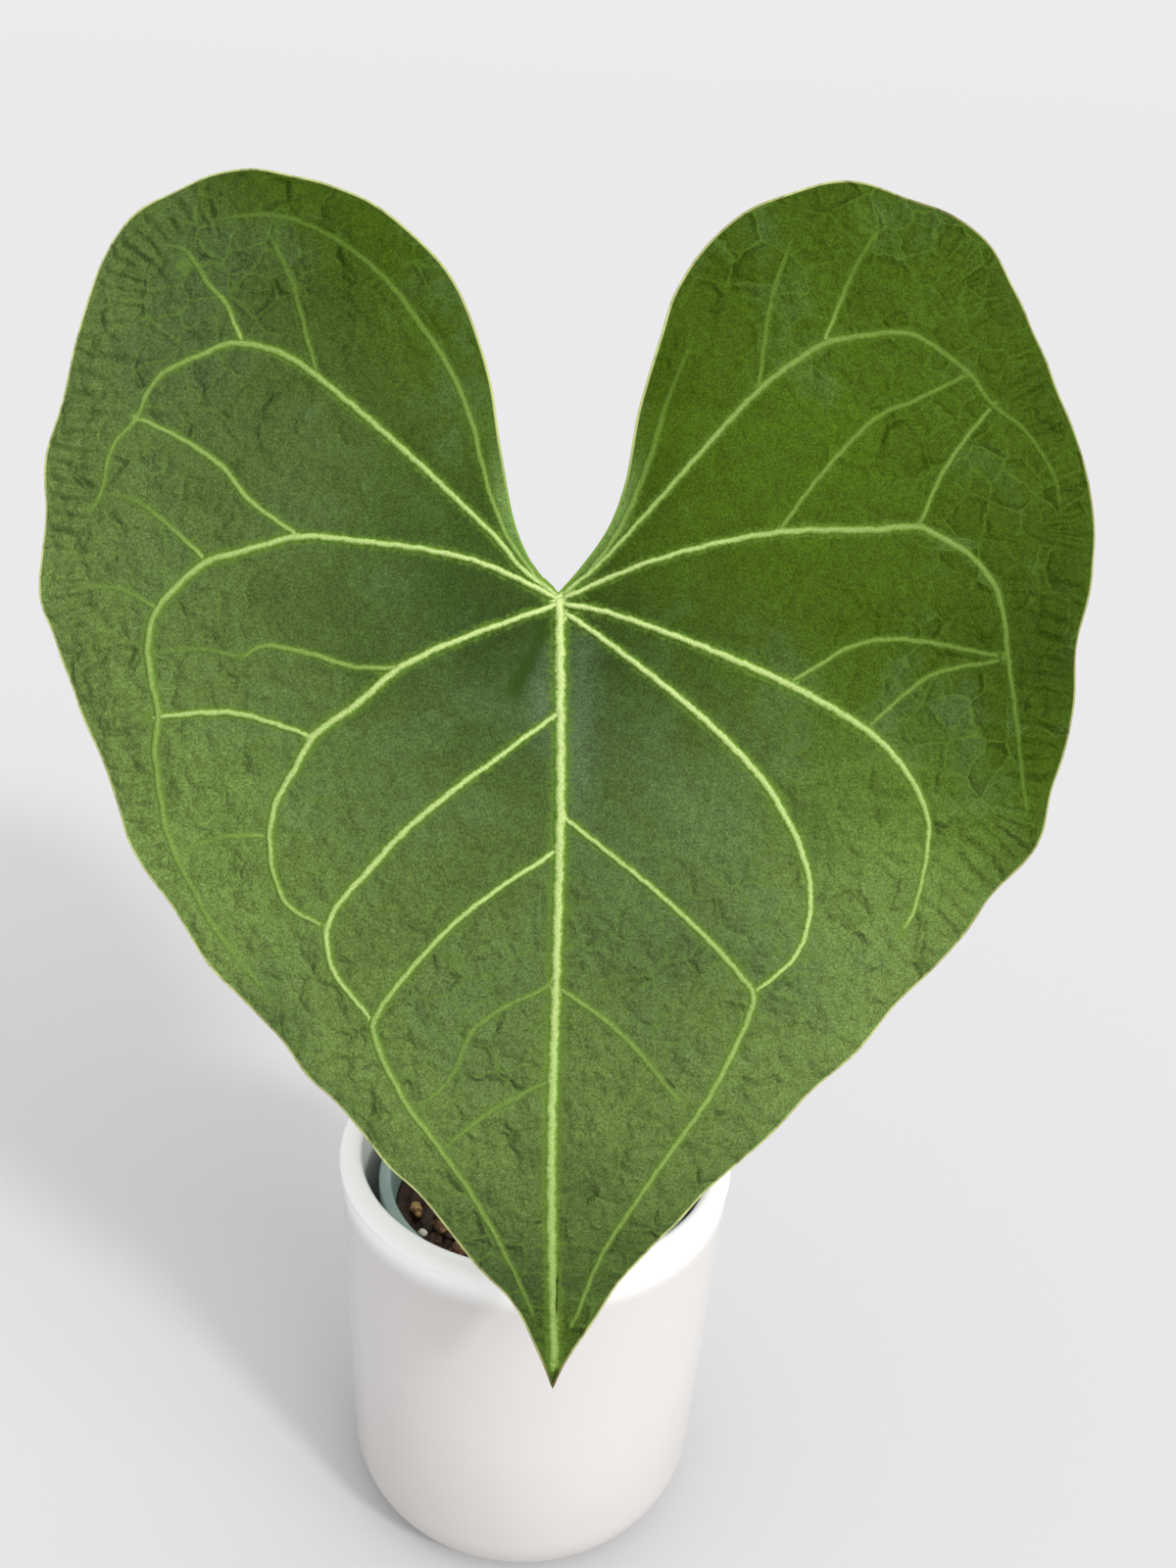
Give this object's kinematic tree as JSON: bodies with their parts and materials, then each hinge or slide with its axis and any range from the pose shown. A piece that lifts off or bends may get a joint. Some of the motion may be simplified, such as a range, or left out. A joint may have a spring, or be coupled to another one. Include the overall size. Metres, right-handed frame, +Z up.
{
  "type": "potted anthurium clarinervium",
  "caption": "Potted aroid house plant: a large heart-shaped leaf with a raised pale vein net, on an arched stalk in a nursery pot inside a glazed cachepot.",
  "frame": {"origin": "centre of the cachepot's flat foot, on the surface that it stands on", "axes": "+Z up; the leaf faces -Y with its tip low and forward over the pot's rim; +X is to the right of someone who faces the leaf"},
  "size_m": [0.2706, 0.156, 0.4232],
  "materials": {
    "glaze": "white gloss glaze",
    "thin_plastic": "thin moulded plastic, translucent grey green",
    "mix": "coarse damp bark mix",
    "crown": "dull fibrous skin",
    "petiole": "smooth waxy stalk",
    "blade": "velvety dark green leaf with pale veins"
  },
  "bodies": {
    "root": {"cachepot": "glaze", "nursery_pot": "thin_plastic", "potting_mix": "mix", "stem_crown": "crown", "petiole": "petiole", "leaf_blade": "blade"}
  },
  "joints": []
}
